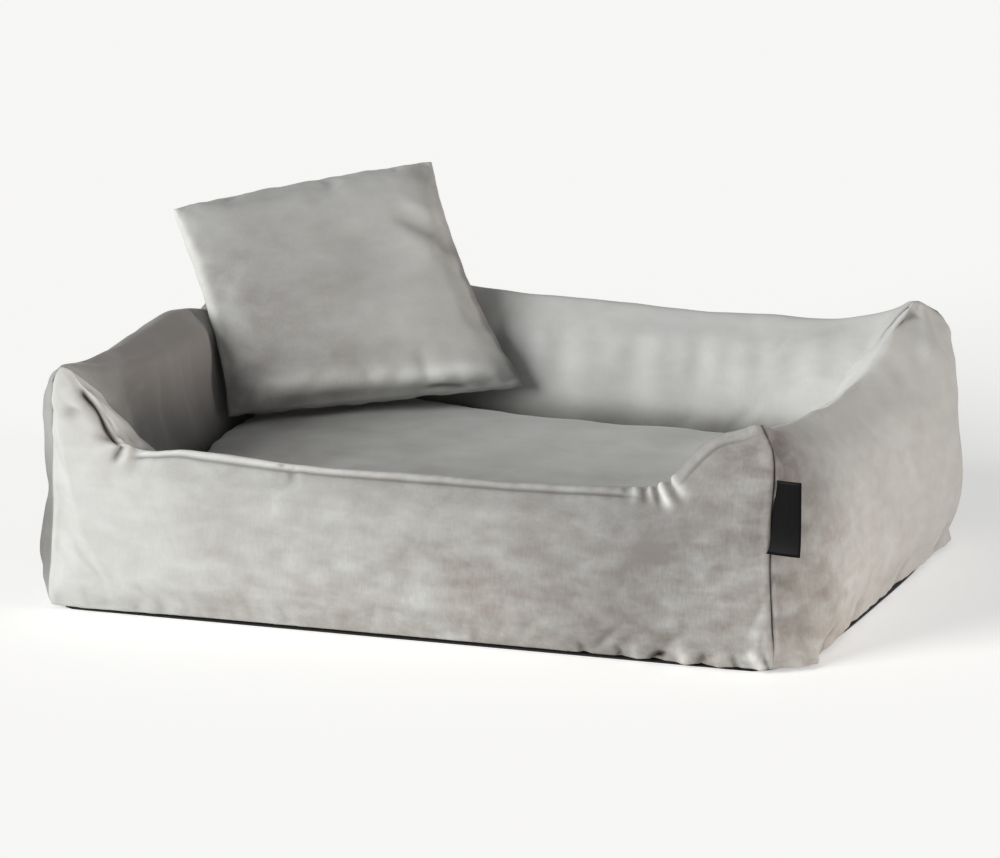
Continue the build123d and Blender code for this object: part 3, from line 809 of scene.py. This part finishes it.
# Where the pile is worn and its cast warmer: place, reach and strength
WORN_FIELD = (
    ((0, -0.3, 0), 0.3, 0.45), ((0.1, -0.3, 0.02), 0.12, 0.45), ((-0.15, -0.3, 0.03), 0.12, 0.25),
    ((0.36, -0.3, 0.06), 0.16, 0.45), ((0.4, -0.28, 0.24), 0.06, 0.9), ((0.42, -0.25, 0.02), 0.14, 0.9),
    ((0.42, 0.05, 0.04), 0.22, 0.28), ((-0.33, 0, 0.2), 0.2, 0.3),
)


def field_at(points, field):
    """The sum of soft round spots at each point."""
    total = np.zeros(len(points))
    for place, reach, value in field:
        total += value * np.exp(-((points - np.array(place)) ** 2).sum(axis=1) / reach ** 2)
    return total


def paint_light_and_wear(piece):
    """Paint the piece's slow light and shade, give it its worn places, and start its painted shade
    at nothing."""
    points = points_of(piece)
    keep_attribute(piece, "nap", 0.55 + PAINTED_LIGHT_OF_PIECE.get(piece.name, 0.0) + field_at(points, PAINTED_LIGHT_FIELD))
    keep_attribute(piece, "worn", np.clip(0.05 + field_at(points, WORN_FIELD), 0, 1))
    keep_attribute(piece, "crushed", np.zeros(len(points)))


class PETBED_OT_walls(bpy.types.Operator):
    """Four stuffed velour walls, sewn together in the corners, with the low entry at the front"""

    bl_idname = "petbed.walls"
    bl_label = "Stuffed walls"

    def execute(self, context):
        sizes, colours = context.scene.petbed_walls, context.scene.petbed_colours
        velour = velour_material("brushed_velour", colours.velour_painted_shade, colours.velour, colours.velour_painted_light,
                                 colours.velour_warm)
        for name in WALL_TOPS:
            run = sizes.length if name in ("front_wall", "rear_wall") else sizes.depth
            piece, held = wall_piece(name, sizes, run)
            stuff(piece, held, pressure=3.0, spare=0.012, cap=0.0045)
            subdivide_piece(piece)
            paint_light_and_wear(piece)
            sculpt_wall(piece, name)
            if name == "front_wall":
                sculpt_entry(piece)
                fold_face(piece, FRONT_FOLDS, (0, -1, 0))
            if name == "right_wall":
                fold_face(piece, RIGHT_FOLDS, (1, 0, 0.2), axes=(1, 2))
            if name == "left_wall":
                fold_face(piece, LEFT_FOLDS, (-1, 0, 0), axes=(1, 2))
            dress(piece, velour, "bed", "velour", f"{name}_cover", f"{name}_filling")
        return {"FINISHED"}


# Mat and cushion


def pad_grid(columns, rows):
    """Points from -1 to 1 each way, closer together towards the edges."""
    crowding = math.pi / 2 * 0.86
    across, up = (np.sin(np.linspace(-1, 1, n + 1) * crowding) / math.sin(crowding) for n in (columns, rows))
    return np.meshgrid(across, up, indexing="ij")


def rounded_plan(a, b, half_length, half_depth, radius):
    """A square grid laid over a rectangle with rounded corners."""
    x, y = a * half_length, b * half_depth
    inner_x, inner_y = half_length - radius, half_depth - radius
    over_x, over_y = np.abs(x) - inner_x, np.abs(y) - inner_y
    both = (over_x > 0) & (over_y > 0)
    shrink = np.where(both, np.maximum(over_x, over_y) / np.maximum(np.hypot(over_x, over_y), 1e-9), 1)
    x = np.where(both, np.sign(x) * (inner_x + over_x * shrink), x)
    y = np.where(both, np.sign(y) * (inner_y + over_y * shrink), y)
    return x, y


def grid_faces(columns, rows, offset=0, flip=False):
    faces = []
    for i in range(columns):
        for j in range(rows):
            a = offset + i * (rows + 1) + j
            quad = (a, a + rows + 1, a + rows + 2, a + 1)
            faces.append(quad[::-1] if flip else quad)
    return faces


def rim_order(columns, rows):
    """Indices round the edge of a grid, in order."""
    corners = ([(i, 0) for i in range(columns)] + [(columns, j) for j in range(rows)]
               + [(i, rows) for i in range(columns, 0, -1)] + [(0, j) for j in range(rows, 0, -1)])
    return np.array([i * (rows + 1) + j for i, j in corners])


def band_faces(upper, lower):
    """Faces of a band between two closed rings of points, both in the same order."""
    return [tuple(int(v) for v in face) for face in zip(np.roll(upper, -1), upper, lower, np.roll(lower, -1))]


# The zip's slit in the rear side of the mat: half its length, its lower and upper edge, and its depth
SLIT_HALF, SLIT_LOW, SLIT_HIGH, SLIT_DEPTH = 0.2165, 0.0450, 0.0582, 0.008
# Half the width of the slit's turned edges
SLIT_EDGE = 0.0006


def mat_piece(sizes):
    """The thick mat: a crowned top, upright sides with a slit for the zip, and a flat foot."""
    columns, rows = 100, 68
    a, b = pad_grid(columns, rows)
    x, y = rounded_plan(a, b, sizes.length / 2, sizes.depth / 2, 0.026)
    near = np.minimum((1 - np.abs(a)) * sizes.length / 2, (1 - np.abs(b)) * sizes.depth / 2)
    rise = 1 - np.exp(-near / 0.010)
    broad = ((1 - a ** 2) * (1 - b ** 2)) ** 0.5
    rim_here = sizes.rim + sizes.fuller * smoothstep(-0.16, 0.30, -x)
    top = grid_points(x, y, rim_here + (sizes.top - rim_here) * (0.5 * rise + 0.5 * broad) * rise ** 0.3)
    order = rim_order(columns, rows)
    levels = (0.0900, 0.0800, 0.0700, 0.0615, SLIT_HIGH + SLIT_EDGE, SLIT_HIGH - SLIT_EDGE, 0.0517,
              SLIT_LOW + SLIT_EDGE, SLIT_LOW - SLIT_EDGE, 0.0415, 0.034, 0.025, 0.016, sizes.foot + 0.001)
    points, held = [top], [np.zeros(len(top), bool)]
    for level in levels:
        ring = top[order]
        ring[:, 2] = level
        # The sides swell by up to 1.8 mm at half height
        outward = 0.0018 * math.sin(math.pi * min(max((level - 0.009) / 0.085, 0), 1))
        ring[:, :2] *= 1 + outward / 0.3
        if SLIT_LOW < level < SLIT_HIGH:
            slit = (ring[:, 1] > sizes.depth / 2 - 0.004) & (np.abs(ring[:, 0]) < SLIT_HALF)
            ring[slit, 1] -= SLIT_DEPTH
        points.append(ring)
        held.append(np.full(len(ring), level < 0.066))
    under = top.copy()
    under[:, 2] = sizes.foot
    points.append(under)
    held.append(np.ones(len(under), bool))
    n = len(order)
    rings = [order] + [np.arange(n) + len(top) + level * n for level in range(len(levels))]
    faces = grid_faces(columns, rows)
    for upper, lower in zip(rings[:-1], rings[1:]):
        faces += band_faces(upper, lower)
    lowest = len(top) + len(levels) * n
    faces += grid_faces(columns, rows, lowest, flip=True) + band_faces(rings[-1], lowest + order)
    return new_piece("mat", np.vstack(points), faces), np.concatenate(held)


class PETBED_OT_mat(bpy.types.Operator):
    """The loose mat: a crowned velour pad with its zip at the rear"""

    bl_idname = "petbed.mat"
    bl_label = "Mat"

    def execute(self, context):
        sizes = context.scene.petbed_mat
        piece, held = mat_piece(sizes)
        stuff(piece, held, pressure=3.0, spare=0.012, cap=0.004)
        subdivide_piece(piece)
        paint_light_and_wear(piece)
        points = points_of(piece)
        x, y, z = points.T
        free = smoothstep(0.08, 0.1, z)
        shift = 0.0016 * slow_waves(points, seed=11, count=9, wavelength=0.16) * free
        # The seam between the top and the side band, with small gathers
        from_side = np.maximum(sizes.length / 2 - np.abs(x), 0)
        from_end = np.maximum(sizes.depth / 2 - np.abs(y), 0)
        inward = np.minimum(from_side, from_end)
        round_it = np.where(from_side < from_end, y, x)
        shift += puckers(inward, round_it, wavelength=0.032, height=0.0016, reach=0.020, seed=51) * free
        swell(piece, shift)
        # Painted shade along the seam round the top
        keep_attribute(piece, "crushed", 0.45 * bell(inward, 0, 0.007) * free)
        dress(piece, bpy.data.materials["brushed_velour"], "mat", "velour",
              "mat_top_panel", "mat_side_band", "mat_filling")
        return {"FINISHED"}


# Where the cushion's middle is, and how far it is turned, tipped and leant back, in degrees
CUSHION_MIDDLE = Vector((-0.228, 0.143, 0.2407))
CUSHION_TURNS = (35.4, -5.2, 49.7)
# Half its width and half its height
CUSHION_HALF, CUSHION_HALF_UP = 0.150, 0.130
# Corners of the cushion in its own plane, in metres, from the middle
CUSHION_CORNERS = {(-1, -1): (-0.149, -0.115), (1, -1): (0.172, -0.137),
                   (1, 1): (0.142, 0.138), (-1, 1): (-0.147, 0.132)}


def cushion_frame():
    turn, rise, lean = (math.radians(v) for v in CUSHION_TURNS)
    matrix = Matrix.Rotation(turn, 4, "Z") @ Matrix.Rotation(rise, 4, "Y") @ Matrix.Rotation(lean, 4, "X")
    return Matrix.Translation(CUSHION_MIDDLE) @ matrix


def cushion_piece(sizes):
    """Two square panels sewn at their edges, drawn in between the corners and full in the middle. The cushion
    stands on its lower edge, so its rear panel sags below the seam there."""
    columns = rows = 48
    a, b = pad_grid(columns, rows)
    shares = {(sa, sb): (1 + sa * a) * (1 + sb * b) / 4 for sa, sb in CUSHION_CORNERS}
    x, y = (sum(shares[k] * CUSHION_CORNERS[k][axis] for k in shares) for axis in (0, 1))
    x = x + (0.0075 * (a < 0) * (1 - 0.45 * b) - 0.012 * (a > 0)) * a ** 2 * (1 - b ** 2)
    y = y + (0.003 * (b > 0) + 0.001) * b * np.abs(b) * (1 - a ** 2)
    over = np.clip(1 - np.abs(a) ** 3.2, 0, 1) * np.clip(1 - np.abs(b) ** 3.2, 0, 1)
    thick = sizes.crown * over ** 0.5
    low = np.clip(-b, 0, 1) ** 3 * (1 - a ** 4)
    seam_forward = 0.010 * low
    sag = 0.011 * low * np.sqrt(np.clip(1 - np.abs(b) ** 12, 0, 1))
    front = grid_points(x, y, thick * (1 - 0.15 * low) + seam_forward)
    rear = grid_points(x, y - sag, seam_forward - thick)
    # Both panels share the points of their seam
    seam = np.zeros(len(front), bool)
    seam[rim_order(columns, rows)] = True
    where = np.arange(len(front))
    where[~seam] = len(front) + np.arange((~seam).sum())
    faces = grid_faces(columns, rows)
    faces += [tuple(int(where[i]) for i in face) for face in grid_faces(columns, rows, flip=True)]
    matrix = np.array(cushion_frame())
    points = np.vstack([front, rear[~seam]]) @ matrix[:3, :3].T + matrix[:3, 3]
    piece = new_piece("scatter_cushion", points, faces)
    for name, values in (("across", a.ravel()), ("up", b.ravel())):
        keep_attribute(piece, name, np.concatenate([values, values[~seam]]))
    return piece, np.concatenate([seam, np.zeros((~seam).sum(), bool)])


class PETBED_OT_cushion(bpy.types.Operator):
    """The scatter cushion that leans in the rear left corner"""

    bl_idname = "petbed.cushion"
    bl_label = "Scatter cushion"

    def execute(self, context):
        piece, held = cushion_piece(context.scene.petbed_cushion)
        stuff(piece, held, pressure=3.5, spare=0.02, cap=0.005)
        subdivide_piece(piece)
        paint_light_and_wear(piece)
        fold_face(piece, CUSHION_FOLDS, (0, 0, 1), axes=(0, 1), turned=np.array(cushion_frame()))
        across, up, nap = (attribute_of(piece, key) for key in ("across", "up", "nap"))
        sides, ends = (1 - np.abs(across)) * CUSHION_HALF, (1 - np.abs(up)) * CUSHION_HALF_UP
        inward = np.maximum(np.minimum(sides, ends), 0)
        round_it = np.where(sides < ends, up * CUSHION_HALF_UP, across * CUSHION_HALF)
        shift = puckers(inward, round_it, wavelength=0.030, height=0.0014, reach=0.022, seed=61)
        shift += 0.0012 * slow_waves(points_of(piece), seed=21, count=9, wavelength=0.10)
        swell(piece, shift * smoothstep(0, 0.01, inward))
        # Painted highlight on the left rim, which faces the light, and painted shade on the right side, which
        # turns away from it
        nap += 0.65 * bell(across, -1, 0.035) * smoothstep(-0.9, -0.4, up)
        nap -= 0.45 * smoothstep(0.90, 0.98, across) * smoothstep(0.5, 0.0, up)
        keep_attribute(piece, "nap", nap)
        dress(piece, bpy.data.materials["brushed_velour"], "scatter_cushion", "velour",
              "cushion_front_panel", "cushion_back_panel", "cushion_filling")
        return {"FINISHED"}


# Flat sheets, label and zip


def two_faced_sheet(name, under, over, columns, rows):
    """A thin sheet as a closed shell, from the points of its two faces."""
    n, order = len(under), rim_order(columns, rows)
    faces = grid_faces(columns, rows, n) + grid_faces(columns, rows, flip=True)
    return new_piece(name, np.vstack([under, over]), faces + band_faces(order + n, order))


def flat_sheet(name, node, radius, thickness, lift=0.0, waves=0.0, bulge=0.0, seed=1):
    """A thin sheet of cloth lying flat over its node's length and depth, with a slight unevenness on top. The
    bulge is how far its right edge is pushed out in the middle."""
    low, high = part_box(node)
    columns, rows = 60, 44
    a, b = np.meshgrid(np.linspace(-1, 1, columns + 1), np.linspace(-1, 1, rows + 1), indexing="ij")
    x, y = rounded_plan(a, b, (high.x - low.x) / 2, (high.y - low.y) / 2, radius)
    under = grid_points(x + bulge * np.clip(a, 0, 1) ** 2 * (1 - b ** 4), y, low.z + lift)
    over = under.copy()
    over[:, 2] += thickness + waves * (slow_waves(under, seed, count=7, wavelength=0.12) * 0.5)
    return two_faced_sheet(name, under, over, columns, rows)


class PETBED_OT_base(bpy.types.Operator):
    """The black non-slip base, the wadding over it and the lining of the sleeping floor"""

    bl_idname = "petbed.base"
    bl_label = "Base"

    def execute(self, context):
        colours = context.scene.petbed_colours
        black = woven_material("non_slip_base_fabric", colours.base, "0B0B0D", thread=0.0016, roughness=0.7,
                               dot_gap=0.012)
        lining = woven_material("plain_lining", colours.lining, "7F7E7C", thread=0.0011)
        white = woven_material("fibre_wadding", "E9E8E4", "D5D4D0", thread=0.004, roughness=0.95)
        for name, node, body, material, slot, form in (
            ("base_sheet", "base_panel", "bed", black, "base_fabric",
             {"radius": 0.018, "thickness": 0.0018, "bulge": 0.032}),
            ("floor_wadding", "base_wadding", "bed", white, "fibre_filling",
             {"radius": 0.004, "thickness": 0.0034, "lift": 0.0002, "waves": 0.0006}),
            ("floor_lining_sheet", "floor_lining", "bed", lining, "lining_fabric",
             {"radius": 0.004, "thickness": 0.0010, "waves": 0.0005, "seed": 3}),
            ("mat_base_sheet", "mat_base_panel", "mat", lining, "lining_fabric",
             {"radius": 0.024, "thickness": 0.0012}),
        ):
            piece = flat_sheet(name, node, **form)
            dress(piece, material, body, slot, node)
        return {"FINISHED"}


# Half the thickness of the label's folded ribbon
RIBBON_HALF = 0.0005


class PETBED_OT_label(bpy.types.Operator):
    """The bare black ribbon flag in the front right corner seam"""

    bl_idname = "petbed.label"
    bl_label = "Side label"

    def execute(self, context):
        low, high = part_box("side_label")
        satin = woven_material("satin_ribbon", context.scene.petbed_colours.label, "08080A", thread=0.0007,
                               roughness=0.5, sheen=0.0, gloss=0.08, depth=0.10)
        columns, rows = 14, 24
        s, t = np.meshgrid(np.linspace(0, 1, columns + 1), np.linspace(0, 1, rows + 1), indexing="ij")
        x = low.x + (high.x - low.x) * s
        z = low.z + (high.z - low.z) * t
        # It bows a little towards the front, and its lower end curls by 4 mm
        y = high.y + (low.y - high.y) * s - 0.0015 * np.sin(math.pi * s) - (1 - t) ** 6 * 0.004
        front, rear = (grid_points(x, y + side * RIBBON_HALF, z) for side in (-1, 1))
        piece = two_faced_sheet("side_label_ribbon", front, rear, columns, rows)
        dress(piece, satin, "bed", "label_ribbon", "side_label")
        return {"FINISHED"}


class PETBED_OT_zip(bpy.types.Operator):
    """Finishes of the mat's zip: woven tapes, moulded teeth and stops, and a lacquered slider"""

    bl_idname = "petbed.zip"
    bl_label = "Zip finishes"

    def execute(self, context):
        tape = woven_material("zip_tape_weave", "8F8E8B", "757471", thread=0.0009)
        teeth = moulded_material("moulded_acetal", "A3A2A0", "8D8C8A", roughness=0.38)
        slider = moulded_material("lacquered_zinc", "9B9A99", "868584", roughness=0.32, coat=0.5)
        for part, material in (("tape_upper", tape), ("tape_lower", tape), ("teeth_upper", teeth),
                               ("teeth_lower", teeth), ("stops", teeth), ("slider", slider)):
            repaint_node("mat_zip_" + part, material)
        return {"FINISHED"}


# Stage


# The photograph's angle in degrees, how far off it was taken in metres, and its lens in millimetres
CAMERA_AZIMUTH, CAMERA_ELEVATION, CAMERA_DISTANCE, CAMERA_LENS = 18.6, 15.0, 16.23, 559.2
# The point that it looks at, and how far it is then moved up and to the side to frame the bed
CAMERA_AIM = (0.0, 0.0, 0.100)
CAMERA_RAISE, CAMERA_SIDESTEP = 0.0512, 0.0021
# Half the floor's width, far past what any view shows
FLOOR_HALF = 60.0


def toward(azimuth, elevation):
    """A compass direction, where 0 is the front and 90 is the right."""
    a, e = math.radians(azimuth), math.radians(elevation)
    return Vector((math.sin(a) * math.cos(e), -math.cos(a) * math.cos(e), math.sin(e)))


def add_object(name, data, turn=None):
    """Link a new camera, lamp or mesh to the scene, turned to look back along a direction."""
    thing = bpy.data.objects.new(name, data)
    bpy.context.scene.collection.objects.link(thing)
    if turn:
        thing.rotation_euler = turn.to_track_quat("Z", "Y").to_euler()
    return thing


def sun_lamp(name, azimuth, elevation, strength, colour, angle):
    """A soft lamp far away."""
    data = bpy.data.lights.new(name, "SUN")
    data.energy, data.color, data.angle = strength, linear(colour)[:3], math.radians(angle)
    direction = toward(azimuth, elevation)
    add_object(name, data, direction).location = direction * 3


def photo_camera(scene):
    """The camera, far away behind a long lens, as the photograph's nearly parallel lines show."""
    back, turn = toward(CAMERA_AZIMUTH, CAMERA_ELEVATION), math.radians(CAMERA_AZIMUTH)
    right = Vector((math.cos(turn), math.sin(turn), 0))
    data = bpy.data.cameras.new("photo_camera")
    data.lens, data.sensor_width = CAMERA_LENS, 36
    data.clip_start, data.clip_end = 1.0, 200.0
    scene.camera = add_object("photo_camera", data, back)
    raised = back.cross(right) * CAMERA_RAISE
    scene.camera.location = Vector(CAMERA_AIM) + back * CAMERA_DISTANCE + raised + right * CAMERA_SIDESTEP


def seen_directly(add, kinds):
    """1 for the kinds of ray that show a background, and 0 for those that light the object."""
    path = add("LightPath")
    seen = (path, kinds[0])
    for kind in kinds[1:]:
        seen = (add("Math", {"operation": "MAXIMUM"}, {0: seen, 1: (path, kind)}), 0)
    return seen


def studio_air(scene):
    """A low even light from all round, with a white background where the air itself is seen."""
    scene.world = bpy.data.worlds.new("studio_air")
    scene.world.use_nodes = True
    scene.world.node_tree.nodes.clear()
    add = partial(add_node, scene.world)
    seen = seen_directly(add, ("Is Camera Ray", "Is Glossy Ray", "Is Transmission Ray"))
    air = add("Background", {"Color": linear("F6F7F8"), "Strength": 0.22})
    white = add("Background", {"Color": linear("FFFFFF"), "Strength": 1.0})
    mixed = add("MixShader", {}, {0: seen, 1: (air, 0), 2: (white, 0)})
    add("OutputWorld", links={"Surface": (mixed, 0)})


def studio_floor():
    """A matt paper floor that takes the bed's shadow, and is paler where it is seen than it lights."""
    mesh = bpy.data.meshes.new("studio_floor")
    corners = [(x * FLOOR_HALF, y * FLOOR_HALF, 0) for x, y in ((-1, -1), (1, -1), (1, 1), (-1, 1))]
    mesh.from_pydata(corners, [], [(0, 1, 2, 3)])
    paint, add, _ = start_material("matt_white_paper")
    seen = seen_directly(add, ("Is Camera Ray", "Is Glossy Ray"))
    matt = add("BsdfDiffuse", {"Color": linear("F2F2F0")})
    glow = add("Emission", {"Color": linear("FFFFFF"), "Strength": 0.45})
    lifted = add("AddShader", {}, {0: (matt, 0), 1: (glow, 0)})
    finish_material(add, add("MixShader", {}, {0: seen, 1: (matt, 0), 2: (lifted, 0)}))
    mesh.materials.append(paint)
    add_object("studio_floor", mesh)


class PETBED_OT_studio(bpy.types.Operator):
    """Pale floor, soft lamps and a camera at the photograph's angle"""

    bl_idname = "petbed.studio"
    bl_label = "Studio"

    def execute(self, context):
        context.scene.view_settings.view_transform = "Standard"
        photo_camera(context.scene)
        studio_air(context.scene)
        sun_lamp("window_light", azimuth=-36, elevation=19, strength=2.95, colour="FFFEFC", angle=30)
        sun_lamp("low_side_light", azimuth=86, elevation=3.5, strength=1.45, colour="FFF4EC", angle=7)
        studio_floor()
        return {"FINISHED"}


class PETBED_PT_sidebar(bpy.types.Panel):
    """Sizes, colours and the steps that build the bed"""

    bl_idname = "PETBED_PT_sidebar"
    bl_label = "Pet Bed"
    bl_space_type = "VIEW_3D"
    bl_region_type = "UI"
    bl_category = "Pet Bed"

    def draw(self, context):
        for group in (context.scene.petbed_walls, context.scene.petbed_mat,
                      context.scene.petbed_cushion, context.scene.petbed_colours):
            box = self.layout.box()
            for key in group.__annotations__:
                box.prop(group, key)
        for operator in OPERATORS:
            self.layout.operator(operator.bl_idname)


OPERATORS = (PETBED_OT_studio, PETBED_OT_walls, PETBED_OT_mat, PETBED_OT_cushion, PETBED_OT_base,
             PETBED_OT_label, PETBED_OT_zip)
GROUPS = {"petbed_walls": StuffedWallSizes, "petbed_mat": MatSizes, "petbed_cushion": CushionSizes,
          "petbed_colours": BedColours}


def register():
    for group in GROUPS.values():
        bpy.utils.register_class(group)
    for name, group in GROUPS.items():
        setattr(bpy.types.Scene, name, PointerProperty(type=group))
    for operator in OPERATORS:
        bpy.utils.register_class(operator)
    bpy.utils.register_class(PETBED_PT_sidebar)


def unregister():
    bpy.utils.unregister_class(PETBED_PT_sidebar)
    for operator in reversed(OPERATORS):
        bpy.utils.unregister_class(operator)
    for name, group in reversed(GROUPS.items()):
        delattr(bpy.types.Scene, name)
        bpy.utils.unregister_class(group)


def main():
    register()
    for operator in OPERATORS:
        area, step = operator.bl_idname.split(".")
        if getattr(getattr(bpy.ops, area), step)() != {"FINISHED"}:
            raise RuntimeError(f"{operator.bl_label} could not be made")
    bpy.context.view_layer.update()


if __name__ == "__main__":
    main()
